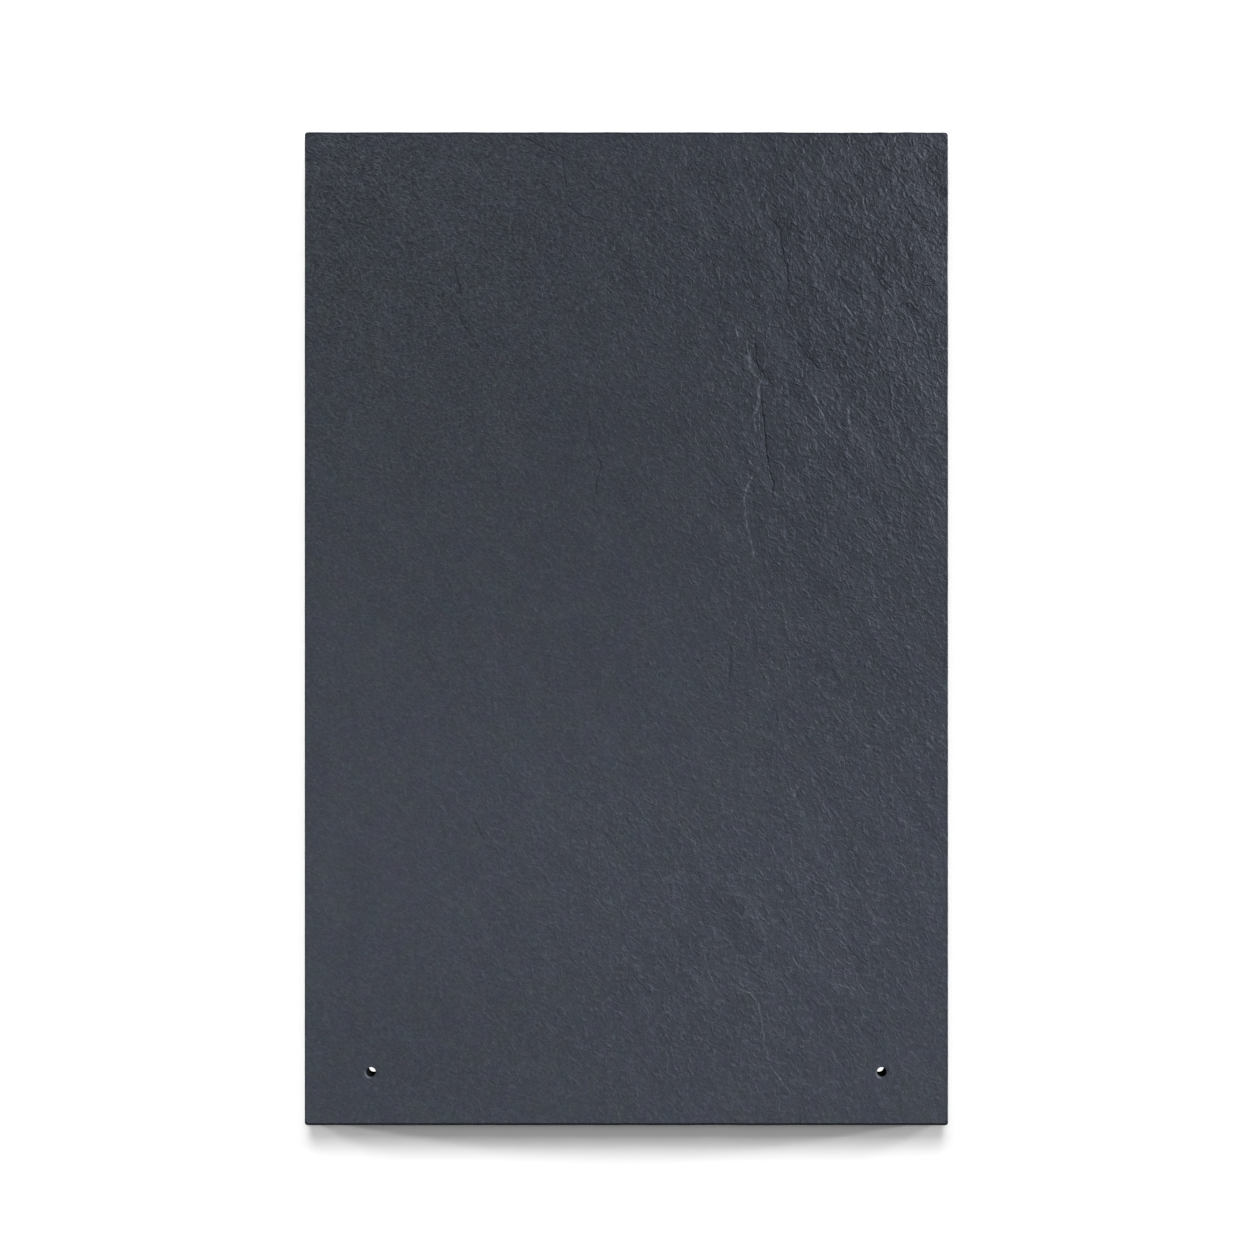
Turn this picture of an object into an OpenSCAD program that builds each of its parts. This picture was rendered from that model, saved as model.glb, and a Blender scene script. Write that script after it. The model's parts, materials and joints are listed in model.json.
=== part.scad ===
// Fibre cement slate: one pressed sheet, nailed through two holes near one end.
// It lies on its back with the riven face up. X runs across it, Y runs along it,
// the nailed end is at -Y, and the origin is at the middle of the back.

/* [Sheet] */
// Width across the sheet
slate_width = 300; // [200:1:400]
// Length from the nailed end to the far end
slate_length = 463; // [300:1:700]
// Thickness up to the highest part of the face
slate_thickness = 5; // [4:0.1:8]
// Radius of the four corners, looking down on the face
corner_radius = 1.5; // [1.2:0.1:8]
// Radius of the worn arris between the face and the cut edges
face_arris = 0.6; // [0.3:0.05:1]

/* [Nail holes] */
// Diameter of each punched nail hole
hole_diameter = 4.5; // [3:0.1:6]
// Distance from each long edge to the middle of its nail hole
hole_side_inset = 31; // [15:0.5:60]
// Distance from the nailed end to the middle of both nail holes
hole_end_inset = 25; // [15:0.5:60]
// Width of the shallow dish that the punch leaves around each hole on the face
dish_rim = 1; // [0.3:0.1:3]
// Depth of that dish where it meets the hole
dish_depth = 0.3; // [0.1:0.05:1]

/* [Hidden] */
$fn = 96;

slate_colour = [0.25, 0.265, 0.30];

// Half sizes of the flat core that the edge band runs around
core_x = slate_width / 2 - corner_radius;
core_y = slate_length / 2 - corner_radius;

// How far the hole cutters run past the back and the face
cut_clear = 1;

// Section of the edge band: square at the back, with a round arris at the face
module edge_section() {
    square([corner_radius - face_arris, slate_thickness]);
    square([corner_radius, slate_thickness - face_arris]);
    translate([corner_radius - face_arris, slate_thickness - face_arris])
        circle(r = face_arris);
}

// Straight stretch of the edge band, along Y and facing +X
module edge_run(run_length) {
    rotate([90, 0, 0])
        linear_extrude(height = run_length, center = true)
            edge_section();
}

// Quarter turn of the edge band around one corner
module edge_corner() {
    rotate_extrude(angle = 90)
        edge_section();
}

// Whole sheet before it is holed: the flat core and the edge band around it
module sheet() {
    translate([-core_x, -core_y, 0])
        cube([2 * core_x, 2 * core_y, slate_thickness]);
    for (quarter = [0:3]) {
        faces_x = quarter % 2 == 0;
        reach = faces_x ? core_x : core_y;
        half_run = faces_x ? core_y : core_x;
        rotate([0, 0, 90 * quarter]) {
            translate([reach, 0, 0]) edge_run(2 * half_run);
            translate([reach, half_run, 0]) edge_corner();
        }
    }
}

// What one punched nail hole takes away: the bore, and the cone of the dish at the face
module nail_hole() {
    dish_slope = dish_rim / dish_depth;
    dish_top = dish_depth + cut_clear;
    translate([0, 0, -cut_clear])
        cylinder(d = hole_diameter, h = slate_thickness + 2 * cut_clear);
    translate([0, 0, slate_thickness - dish_depth])
        cylinder(d1 = hole_diameter, d2 = hole_diameter + 2 * dish_slope * dish_top, h = dish_top);
}

module slate() {
    hole_x = slate_width / 2 - hole_side_inset;
    hole_y = hole_end_inset - slate_length / 2;
    color(slate_colour)
        difference() {
            sheet();
            for (side = [-1, 1])
                translate([side * hole_x, hole_y, 0]) nail_hole();
        }
}

slate();
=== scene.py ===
"""Dress the packed fibre cement slate: its riven face, its coat, a white floor, soft light and the camera."""

import json
import logging
import math
from collections.abc import Iterator
from dataclasses import dataclass, field
from enum import Enum
from typing import Any

import bmesh
import bpy
import numpy as np
from bpy.types import GeometryNodeTree, Material, Mesh, Node, NodeTree, Object, ShaderNodeTree
from bpy.types import NodeSocket as Socket
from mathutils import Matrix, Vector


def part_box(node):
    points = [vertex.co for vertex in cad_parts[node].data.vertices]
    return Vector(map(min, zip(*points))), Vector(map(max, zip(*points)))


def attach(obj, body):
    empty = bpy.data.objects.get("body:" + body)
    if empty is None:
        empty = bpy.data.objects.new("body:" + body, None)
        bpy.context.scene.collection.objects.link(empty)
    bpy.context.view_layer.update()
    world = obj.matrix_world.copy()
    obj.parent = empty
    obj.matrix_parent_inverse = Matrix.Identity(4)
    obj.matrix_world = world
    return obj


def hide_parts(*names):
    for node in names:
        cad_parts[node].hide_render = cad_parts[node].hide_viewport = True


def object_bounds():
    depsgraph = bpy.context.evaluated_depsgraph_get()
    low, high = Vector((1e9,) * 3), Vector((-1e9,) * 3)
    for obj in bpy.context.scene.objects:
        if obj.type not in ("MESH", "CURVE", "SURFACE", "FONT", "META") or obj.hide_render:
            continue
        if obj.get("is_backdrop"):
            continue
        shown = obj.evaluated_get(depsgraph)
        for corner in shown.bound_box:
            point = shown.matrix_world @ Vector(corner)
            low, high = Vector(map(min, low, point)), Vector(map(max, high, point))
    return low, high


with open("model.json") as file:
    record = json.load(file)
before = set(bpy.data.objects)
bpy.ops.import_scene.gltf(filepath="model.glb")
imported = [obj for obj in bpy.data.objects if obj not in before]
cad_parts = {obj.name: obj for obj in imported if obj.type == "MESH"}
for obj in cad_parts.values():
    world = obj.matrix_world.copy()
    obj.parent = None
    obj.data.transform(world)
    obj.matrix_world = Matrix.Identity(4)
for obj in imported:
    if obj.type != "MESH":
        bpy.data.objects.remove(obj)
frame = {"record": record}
CAD_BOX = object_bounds()

MM = 0.001
NODE = "slate"
BODY = "root"
LOG = logging.getLogger("slate")
NOISE_MIDDLE = 0.5

Point = tuple[float, float]
Span = tuple[float, float]
Colour = tuple[float, float, float]
Array = np.ndarray


class Layer(Enum):
    """Attributes that the mesh carries for its relief and its finish, by name."""

    FACE = "face_share"
    RIVEN = "riven"
    SPECKLE = "speckle"
    TONE = "tone_level"
    CAST = "green_cast"
    ARRIS_SHADE = "arris"
    EDGE = "cut_edge"
    SIDE = "mark_side"
    CRACK = "crack_show"
    LIP = "lip_show"
    RIM_HIGHLIGHT = "painted_rim_highlight"
    BACK = "back_face"
    BORE = "bore_wall"


class LitBy(Enum):
    """What a lamp shines on."""

    SLATE = "slate"
    FLOOR = "floor"


@dataclass(frozen=True)
class PhotoFrame:
    """Where the photograph's pixels lie on the slate's face."""

    width_px: int = 1254
    slate_centre_px: Point = (626.4, 628.7)
    mm_per_px: float = 0.4655

    def to_face(self, pixel: Point) -> Point:
        """Find the point of the face that a pixel shows.

        Args:
            pixel: Column and row in the photograph.

        Returns:
            X and Y on the face, in metres.
        """
        scale = self.mm_per_px * MM
        x = (pixel[0] - self.slate_centre_px[0]) * scale
        y = (self.slate_centre_px[1] - pixel[1]) * scale
        return x, y


@dataclass(frozen=True)
class FaceMark:
    """One line of the riven face, as a route of photograph pixels."""

    route: tuple[Point, ...]
    strength: float = 1.0
    width: float = 1.0


@dataclass(frozen=True)
class FacePatch:
    """A round patch that differs from the rest of the face, placed and sized in photograph pixels."""

    centre: Point
    reach: float
    strength: float


@dataclass(frozen=True)
class FaceMap:
    """A quality of the face: its level where the face is quiet, and the patches that raise or lower it."""

    quiet: float
    patches: tuple[FacePatch, ...]


CRACKS: tuple[FaceMark, ...] = (
    FaceMark(((755, 340), (755, 358), (760, 369), (772, 384))),
    FaceMark(((761, 392), (763, 413), (765, 435), (767, 456), (770, 471), (774, 484), (772, 497))),
    FaceMark(((753, 484), (754, 508)), 0.5),
    FaceMark(((588, 422), (590, 439), (597, 453), (601, 467), (596, 480), (597, 497)), 0.5),
    FaceMark(((769, 216), (779, 227), (781, 242), (784, 259), (788, 268), (788, 288))),
    FaceMark(((562, 156), (565, 178), (566, 203), (580, 216)), 0.5),
    FaceMark(((455, 263), (457, 281), (462, 298)), 0.65),
    FaceMark(((457, 314), (469, 332)), 0.65),
    FaceMark(((807, 357), (820, 370)), 1.0, 1.3),
    FaceMark(((834, 390), (838, 402)), 1.0, 1.3),
    FaceMark(((730, 643), (731, 664), (728, 688)), 0.4),
    FaceMark(((770, 698), (780, 728)), 0.4),
    FaceMark(((847, 946), (857, 957), (865, 966)), 0.6),
    FaceMark(((474, 820), (484, 840)), 0.5),
    FaceMark(((521, 137), (532, 140), (543, 147), (556, 152)), 0.8),
    FaceMark(((580, 216), (591, 218), (603, 224)), 0.4),
    FaceMark(((419, 645), (429, 660), (441, 684)), 0.25),
    FaceMark(((796, 791), (799, 799)), 0.7),
    FaceMark(((600, 828), (620, 853)), 0.4),
    FaceMark(((635, 978), (650, 993)), 0.4),
)

LIPS: tuple[FaceMark, ...] = (
    FaceMark(((748, 352), (750, 369), (759, 381), (758, 398), (755, 416), (755, 432)), 0.9, 1.8),
    FaceMark(((747, 457), (754, 467)), 0.9),
    FaceMark(((753, 475), (746, 490), (743, 502), (746, 520), (749, 539), (754, 557)), 0.8, 1.5),
    FaceMark(((810, 387), (819, 406), (826, 423), (827, 435)), 0.75, 1.4),
    FaceMark(((844, 373), (850, 381))),
    FaceMark(((847, 404), (850, 426), (853, 444)), 0.7, 1.4),
    FaceMark(((862, 194), (865, 212), (876, 219)), 0.8),
    FaceMark(((844, 304), (853, 316))),
    FaceMark(((883, 303), (891, 316)), 0.9),
    FaceMark(((911, 319), (914, 326), (918, 339))),
    FaceMark(((932, 203), (934, 213)), 0.8),
    FaceMark(((942, 243), (945, 267)), 0.9),
    FaceMark(((736, 328), (738, 338)), 0.8),
    FaceMark(((815, 256), (822, 266)), 0.8),
    FaceMark(((908, 181), (920, 190)), 0.9),
    FaceMark(((914, 148), (927, 163)), 0.8),
    FaceMark(((792, 328), (801, 340)), 0.8),
    FaceMark(((927, 496), (931, 512), (935, 534)), 0.6),
    FaceMark(((867, 251), (873, 259)), 0.8),
    FaceMark(((785, 808), (790, 834), (793, 861), (800, 888)), 0.5),
    FaceMark(((730, 893), (748, 898), (770, 908)), 0.35),
    FaceMark(((837, 896), (838, 904)), 0.8),
    FaceMark(((788, 792), (793, 795), (795, 802))),
    FaceMark(((784, 808), (787, 815)), 0.8),
    FaceMark(((929, 730), (934, 742)), 0.9),
    FaceMark(((700, 943), (708, 969)), 0.5),
    FaceMark(((708, 969), (714, 983), (717, 992), (721, 995)), 0.95),
    FaceMark(((729, 981), (737, 989), (750, 993), (758, 1004), (760, 1018), (763, 1030), (763, 1042)), 0.95),
    FaceMark(((763, 1042), (767, 1051), (769, 1064), (776, 1073), (784, 1084), (790, 1093)), 0.95),
    FaceMark(((839, 940), (845, 946))),
    FaceMark(((833, 984), (842, 987), (850, 989), (853, 998)), 0.8),
    FaceMark(((793, 957), (799, 969)), 0.8),
    FaceMark(((827, 889), (835, 898)), 0.8),
    FaceMark(((856, 889), (864, 901)), 0.8),
    FaceMark(((930, 905), (933, 911)), 0.8),
    FaceMark(((680, 1033), (696, 1036), (710, 1043)), 0.5),
)

FACE_MARKS = {Layer.CRACK: CRACKS, Layer.LIP: LIPS}

FACE_MAPS: dict[Layer, FaceMap] = {
    Layer.RIVEN: FaceMap(
        0.18,
        (
            FacePatch((900, 250), 230, 0.70),
            FacePatch((930, 150), 80, 0.25),
            FacePatch((330, 170), 90, 0.22),
            FacePatch((860, 470), 170, 0.28),
            FacePatch((640, 160), 160, 0.14),
            FacePatch((420, 150), 200, 0.10),
            FacePatch((870, 760), 210, 0.28),
            FacePatch((800, 980), 190, 0.32),
            FacePatch((620, 980), 160, 0.18),
            FacePatch((940, 480), 110, -0.15),
            FacePatch((520, 800), 90, 0.08),
            FacePatch((770, 810), 90, -0.08),
            FacePatch((600, 590), 90, -0.05),
        ),
    ),
    Layer.SPECKLE: FaceMap(
        0.30,
        (
            FacePatch((395, 230), 225, 0.48),
            FacePatch((660, 210), 120, 0.14),
            FacePatch((330, 160), 60, 0.30),
            FacePatch((350, 870), 130, -0.05),
        ),
    ),
    Layer.TONE: FaceMap(
        1.0,
        (
            FacePatch((640, 880), 230, 0.05),
            FacePatch((370, 260), 220, 0.03),
            FacePatch((350, 1080), 130, -0.06),
            FacePatch((490, 1060), 140, -0.06),
            FacePatch((650, 1070), 120, -0.03),
            FacePatch((890, 480), 200, -0.04),
            FacePatch((880, 640), 150, -0.04),
            FacePatch((890, 180), 150, -0.03),
        ),
    ),
    Layer.CAST: FaceMap(0.0, (FacePatch((370, 300), 250, 1.0),)),
}


def smooth_step(values: Array, low: float, high: float) -> Array:
    """Ease from 0 at low to 1 at high."""
    t = np.clip((values - low) / (high - low), 0.0, 1.0)
    return t * t * (3.0 - 2.0 * t)


def opaque(colour: Colour) -> tuple[float, float, float, float]:
    """Add a full alpha to a colour."""
    return (*colour, 1.0)


def grey(level: float) -> tuple[float, float, float, float]:
    """Make an opaque grey."""
    return opaque((level, level, level))


def placed(name: str, data: bpy.types.ID) -> Object:
    """Add an object to the scene.

    Args:
        name: The object's name.
        data: Its mesh, lamp or camera.

    Returns:
        The new object.
    """
    made = bpy.data.objects.new(name, data)
    bpy.context.scene.collection.objects.link(made)
    return made


@dataclass
class NodeSketch:
    """A node tree with short calls for placing and linking its nodes."""

    tree: NodeTree

    def add(self, kind: str, inputs: dict[Any, Any] | None = None, **settings: Any) -> Node:
        """Place a node.

        Args:
            kind: The node's Blender type name.
            inputs: Values or sockets for its inputs, by name or index.
            settings: Properties of the node itself.

        Returns:
            The new node.
        """
        node = self.tree.nodes.new(kind)
        for name, value in settings.items():
            setattr(node, name, value)
        for key, value in (inputs or {}).items():
            self.put(node.inputs[key], value)
        return node

    def put(self, socket: Socket, value: Any) -> None:
        """Link a socket to another one, or set its value.

        Args:
            socket: The socket going in.
            value: A socket to link it to, or a value to set.
        """
        if isinstance(value, Socket):
            self.tree.links.new(value, socket)
        else:
            socket.default_value = value

    def declare(self, inputs: dict[str, str], outputs: dict[str, str]) -> Any:
        """Give a group its sockets.

        Args:
            inputs: The kinds of the sockets going in, by name.
            outputs: The kinds of the sockets coming out, by name.

        Returns:
            The sockets that the group's inputs come from, by name.
        """
        for in_out, sockets in (("INPUT", inputs), ("OUTPUT", outputs)):
            for name, kind in sockets.items():
                self.tree.interface.new_socket(name, in_out=in_out, socket_type=f"NodeSocket{kind}")
        return self.add("NodeGroupInput").outputs

    def math(self, operation: str, first: Any, second: Any = 0.0, third: Any = 0.0) -> Socket:
        """Place a Math node and return its output."""
        inputs = {0: first, 1: second, 2: third}
        return self.add("ShaderNodeMath", inputs, operation=operation).outputs[0]

    def times(self, first: Any, second: Any, plus: Any = 0.0) -> Socket:
        """Multiply two values, add a third and return the result."""
        return self.math("MULTIPLY_ADD", first, second, plus)

    def vector(self, operation: str, first: Any, second: Any) -> Socket:
        """Place a Vector Math node and return its output."""
        return self.add("ShaderNodeVectorMath", {0: first, 1: second}, operation=operation).outputs[0]

    def scaled(self, vector: Any, factor: Any) -> Socket:
        """Scale a vector or a colour and return it."""
        return self.add("ShaderNodeVectorMath", {0: vector, "Scale": factor}, operation="SCALE").outputs[0]

    def noise(self, place: Any, scale: Any, seed: Any, output: int | str = 0, **shape: Any) -> Socket:
        """Place a noise that a seed picks.

        Args:
            place: Socket with the coordinates.
            scale: Cells to a metre.
            seed: The noise's fourth coordinate.
            output: Which output is wanted, the value or the colour.
            shape: The noise's other inputs, as Detail, Roughness and Distortion.

        Returns:
            Socket with the noise, from 0 to 1.
        """
        inputs = {"Vector": place, "W": seed, "Scale": scale, **shape}
        return self.add("ShaderNodeTexNoise", inputs, noise_dimensions="4D").outputs[output]

    def slant(self, place: Any, lean_deg: float, stretch: float) -> Socket:
        """Turn and stretch coordinates, so that a noise on them runs slanted.

        Args:
            place: Socket with the coordinates.
            lean_deg: Angle of the direction across the slant, from +X.
            stretch: How many times longer the noise is along the slant.

        Returns:
            Socket with the turned coordinates.
        """
        turn = {"Vector": place, "Angle": -math.radians(lean_deg)}
        turned = self.add("ShaderNodeVectorRotate", turn, rotation_type="Z_AXIS").outputs[0]
        return self.vector("MULTIPLY", turned, (1.0, 1.0 / stretch, 1.0))

    def ramp(self, value: Any, low: Any, high: Any, at_low: Any = 0.0, at_high: Any = 1.0) -> Socket:
        """Ease a value from one range to another and return it."""
        inputs = {"Value": value, "From Min": low, "From Max": high, "To Min": at_low, "To Max": at_high}
        return self.add("ShaderNodeMapRange", inputs, interpolation_type="SMOOTHSTEP").outputs[0]

    def mix(self, share: Any, first: Any, second: Any) -> Socket:
        """Mix two colours, through the sockets that a Mix node keeps for colours.

        Args:
            share: How much of the second colour there is, from 0 to 1.
            first: Socket with a colour, or an opaque colour.
            second: Another one.

        Returns:
            Socket with the mixed colour.
        """
        node = self.add("ShaderNodeMix", data_type="RGBA", clamp_factor=True)
        for identifier, value in (("Factor_Float", share), ("A_Color", first), ("B_Color", second)):
            self.put(next(s for s in node.inputs if s.identifier == identifier), value)
        return next(s for s in node.outputs if s.identifier == "Result_Color")

    def attribute(self, layer: Layer) -> Socket:
        """Read one of the mesh's own layers in a material."""
        return self.add("ShaderNodeAttribute", attribute_name=layer.value).outputs["Fac"]

    def mesh_layer(self, layer: Layer, kind: str = "FLOAT") -> Socket:
        """Read one of the mesh's own layers in a tree of geometry nodes."""
        return self.add("GeometryNodeInputNamedAttribute", {"Name": layer.value}, data_type=kind).outputs[0]


@dataclass(frozen=True)
class Pattern:
    """A noise of a finish: its cells' size, its variant, its fineness and the slant that it runs along."""

    cell: float
    seed: float
    octaves: float = 2.0
    falloff: float = 0.5
    lean_deg: float = 0.0
    stretch: float = 1.0


class SurfaceSketch(NodeSketch):
    """The tree of a new material with one Principled shader and coordinates that stay with the piece."""

    def __init__(self, name: str) -> None:
        """Start the material.

        Args:
            name: The material's name.
        """
        self.material = bpy.data.materials.new(name)
        self.material.use_nodes = True
        super().__init__(self.material.node_tree)
        self.place = self.add("ShaderNodeTexCoord").outputs["Object"]

    def along(self, pattern: Pattern) -> Socket:
        """Slant the piece's coordinates as a pattern runs."""
        return self.slant(self.place, pattern.lean_deg, pattern.stretch)

    def drawn(self, pattern: Pattern, output: int | str = 0) -> Socket:
        """Place a pattern as a plain noise and return its value, or another output."""
        shape = {"Detail": pattern.octaves, "Roughness": pattern.falloff}
        return self.noise(self.along(pattern), 1.0 / pattern.cell, pattern.seed, output, **shape)

    def grain(self, group: ShaderNodeTree, pattern: Pattern) -> Any:
        """Place a pattern as the shared grain, which has its own fineness, and return its outputs."""
        inputs = {"Place": self.along(pattern), "Cell": pattern.cell, "Seed": pattern.seed}
        return self.add("ShaderNodeGroup", inputs, node_tree=group).outputs

    def finish(self, colour: Socket, height: Socket, plain: dict[str, Any]) -> Material:
        """Join the surface to the shader.

        Args:
            colour: Socket with the colour.
            height: Socket with the fine relief, in millimetres.
            plain: The shader's constants, by the names of its inputs.

        Returns:
            The finished material.
        """
        shader = self.tree.nodes["Principled BSDF"]
        bump = self.add("ShaderNodeBump", {"Strength": 1.0, "Distance": MM, "Height": height})
        for name, value in plain.items():
            shader.inputs[name].default_value = value
        self.put(shader.inputs["Base Color"], colour)
        self.put(shader.inputs["Normal"], bump.outputs[0])
        return self.material


@dataclass(frozen=True)
class CrinkleGrain:
    """The fine crinkle of pressed fibre cement with its short hairs, which all three finishes share."""

    octaves: float = 2.0
    falloff: float = 0.55
    warp: float = 0.6
    hair_cells: float = 2.0
    hair_half: float = 0.095
    gap_cells: float = 1.4
    hair_span: Span = (0.50, 0.60)
    hair_seed: float = 10.0
    gap_seed: float = 20.0

    def group(self) -> ShaderNodeTree:
        """Build the grain as a shader node group.

        Returns:
            The group, with a place, a cell size and a seed going in, a height and a mask of hairs coming out.
        """
        tree = bpy.data.node_groups.new("crinkle_grain", "ShaderNodeTree")
        sketch = NodeSketch(tree)
        inputs = {"Place": "Vector", "Cell": "Float", "Seed": "Float"}
        given = sketch.declare(inputs, {"Height": "Float", "Hair": "Float"})
        place = given["Place"]
        scale = sketch.math("DIVIDE", 1.0, given["Cell"])
        shape = {"Detail": self.octaves, "Roughness": self.falloff, "Distortion": self.warp}
        height = sketch.noise(place, scale, given["Seed"], **shape)
        sparse = sketch.math("DIVIDE", scale, self.hair_cells)
        loops = sketch.noise(place, sparse, sketch.math("ADD", given["Seed"], self.hair_seed), Detail=1.0)
        away = sketch.math("ABSOLUTE", sketch.math("SUBTRACT", loops, NOISE_MIDDLE))
        line = sketch.ramp(away, 0.0, self.hair_half, 1.0, 0.0)
        broken = sketch.math("DIVIDE", scale, self.gap_cells)
        gaps = sketch.noise(place, broken, sketch.math("ADD", given["Seed"], self.gap_seed), Detail=0.0)
        hair = sketch.times(line, sketch.ramp(gaps, *self.hair_span))
        sketch.add("NodeGroupOutput", {"Height": height, "Hair": hair})
        return tree


@dataclass(frozen=True)
class CoatedFace:
    """The dark blue-grey acrylic coat on the riven face and the cut edges."""

    far_tone: Colour = (0.0332, 0.0364, 0.0463)
    near_tone: Colour = (0.0480, 0.0536, 0.0679)
    painted_light_span: Span = (0.08, 0.85)
    # pale_tone is the painted highlight of the lips
    pale_tone: Colour = (0.120, 0.132, 0.155)
    rim_highlight_tone: Colour = (0.150, 0.160, 0.178)
    painted_shade_tone: Colour = (0.005, 0.0055, 0.007)
    roughness: float = 0.45
    specular: float = 0.12
    sheen_tint: Colour = (0.68, 0.78, 1.0)
    crinkle: Pattern = Pattern(1.85 * MM, seed=3.1, lean_deg=35.0, stretch=1.45)
    crinkle_depth_mm: float = 0.69
    riven_dim: float = 0.08
    hair_depth_mm: float = 0.25
    hair_highlight_share: float = 0.48
    scarp_spacing: float = 3.2 * MM
    scarp_wander: float = 7.0
    scarp_bends: Pattern = Pattern(1.0 / 110.0, seed=6.3, octaves=3.0, falloff=0.6)
    scarp_steepness: float = 0.25
    scarp_gaps: Pattern = Pattern(4.0 * MM, seed=9.4, octaves=1.0)
    scarp_gap_span: Span = (0.46, 0.64)
    scarp_depth_mm: float = 0.30
    mottle: Pattern = Pattern(7.0 * MM, seed=5.3, falloff=0.55, lean_deg=28.0, stretch=3.2)
    mottle_share: float = 1.4
    specks: Pattern = Pattern(1.03 * MM, seed=2.7, lean_deg=70.0, stretch=1.4)
    speck_share: float = 3.0
    speck_hair_highlight_share: float = 0.66
    speck_depth_mm: float = 0.60
    speck_hair_depth_mm: float = 0.20
    tint: Pattern = Pattern(6.0 * MM, seed=8.9)
    tint_swing: float = 0.34
    riven_tint: float = 0.75
    green_cast: Colour = (-0.025, 0.005, -0.045)
    clouds: Pattern = Pattern(15.0 * MM, seed=4.4, octaves=3.0, falloff=0.6, lean_deg=15.0, stretch=1.8)
    cloud_share: float = 0.40
    near_cloud: float = 0.5
    crack_half: float = 0.75 * MM
    lip_half: float = 0.6 * MM
    waver: float = 2.4 * MM
    wander: Pattern = Pattern(3.4 * MM, seed=7.7)
    gaps: Pattern = Pattern(2.4 * MM, seed=1.9, octaves=1.0)
    crack_gap: float = 0.75
    crack_gap_span: Span = (0.32, 0.58)
    lip_gap: float = 0.32
    lip_gap_span: Span = (0.40, 0.60)
    crack_depth_mm: float = 0.16
    lip_depth_mm: float = 0.14
    crack_shade_share: float = 0.85
    lip_highlight_share: float = 0.85
    rim_highlight_share: float = 0.9
    arris_shade_share: float = 0.95

    def material(self, grain: ShaderNodeTree, length: float) -> Material:
        """Build the coat's material.

        Args:
            grain: The shared crinkle.
            length: The slate's length, along which painted light makes the tone lighter towards the near end.

        Returns:
            The finished material.
        """
        sketch = SurfaceSketch("coated_face")
        riven = sketch.attribute(Layer.RIVEN)
        speckle = sketch.attribute(Layer.SPECKLE)
        crack, lip = self._marks(sketch)
        crinkle = sketch.grain(grain, self.crinkle)
        specks = sketch.grain(grain, self.specks)

        relief = sketch.times(crinkle["Height"], self.crinkle_depth_mm)
        relief = sketch.times(crinkle["Hair"], self.hair_depth_mm, relief)
        relief = sketch.times(self._scarps(sketch), self.scarp_depth_mm, relief)
        pits = sketch.times(specks["Height"], self.speck_depth_mm)
        pits = sketch.times(specks["Hair"], self.speck_hair_depth_mm, pits)
        height = sketch.times(pits, speckle)
        height = sketch.times(relief, riven, height)
        height = sketch.times(crack, -self.crack_depth_mm, height)
        height = sketch.times(lip, self.lip_depth_mm, height)

        # painted light: the coat grows lighter and bluer towards the near end
        along = sketch.add("ShaderNodeSeparateXYZ", {0: sketch.place}).outputs["Y"]
        nearness = sketch.times(along, -1.0 / length, 0.5)
        painted_light_drift = sketch.ramp(nearness, *self.painted_light_span)
        colour = sketch.mix(painted_light_drift, opaque(self.far_tone), opaque(self.near_tone))
        colour = sketch.vector("MULTIPLY", colour, self._tint(sketch, riven))
        fine = sketch.times(specks["Height"], self.speck_share, -self.speck_share / 2)
        # painted highlight along the speck hairs, besides their bump
        fine = sketch.times(specks["Hair"], self.speck_hair_highlight_share, fine)
        dimmed = -self.mottle_share / 2 - self.riven_dim
        broad = sketch.times(sketch.drawn(self.mottle), self.mottle_share, dimmed)
        broad = sketch.times(broad, riven)
        # painted highlight along the crinkle's hair lines, besides their bump
        broad = sketch.times(crinkle["Hair"], self.hair_highlight_share, broad)
        level = sketch.math("ADD", sketch.attribute(Layer.TONE), self._clouds(sketch, painted_light_drift))
        level = sketch.times(fine, speckle, level)
        level = sketch.times(broad, riven, level)
        colour = sketch.scaled(colour, level)
        overlays = (
            # painted shade in the cracks, on top of their groove and bump
            (crack, self.crack_shade_share, self.painted_shade_tone),
            # painted highlight on the lips, on top of their bump
            (lip, self.lip_highlight_share, self.pale_tone),
            # painted highlight on the dishes' lower left rims, which face the key lamp
            (sketch.attribute(Layer.RIM_HIGHLIGHT), self.rim_highlight_share, self.rim_highlight_tone),
            # painted shade along the arris, darkest at the nailed end
            (sketch.attribute(Layer.ARRIS_SHADE), self.arris_shade_share, self.painted_shade_tone),
        )
        for mask, share, tone in overlays:
            colour = sketch.mix(sketch.times(mask, share), colour, opaque(tone))
        plain = {"Roughness": self.roughness, "Specular IOR Level": self.specular}
        return sketch.finish(colour, height, {**plain, "Specular Tint": opaque(self.sheen_tint)})

    def _scarps(self, sketch: SurfaceSketch) -> Socket:
        """Step the face in short broken scarps that look to the upper right.

        Args:
            sketch: The material's tree.

        Returns:
            Socket with the steps' height.
        """
        lean = math.radians(self.crinkle.lean_deg)
        ahead = (math.cos(lean) / self.scarp_spacing, math.sin(lean) / self.scarp_spacing, 0.0)
        climb = sketch.add("ShaderNodeVectorMath", {0: sketch.place, 1: ahead}, operation="DOT_PRODUCT")
        bent = sketch.times(sketch.drawn(self.scarp_bends), self.scarp_wander)
        part = sketch.math("FRACT", sketch.math("SUBTRACT", bent, climb.outputs["Value"]))
        step = sketch.math("SUBTRACT", sketch.ramp(part, 0.0, self.scarp_steepness), part)
        return sketch.times(step, sketch.ramp(sketch.drawn(self.scarp_gaps), *self.scarp_gap_span))

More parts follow.
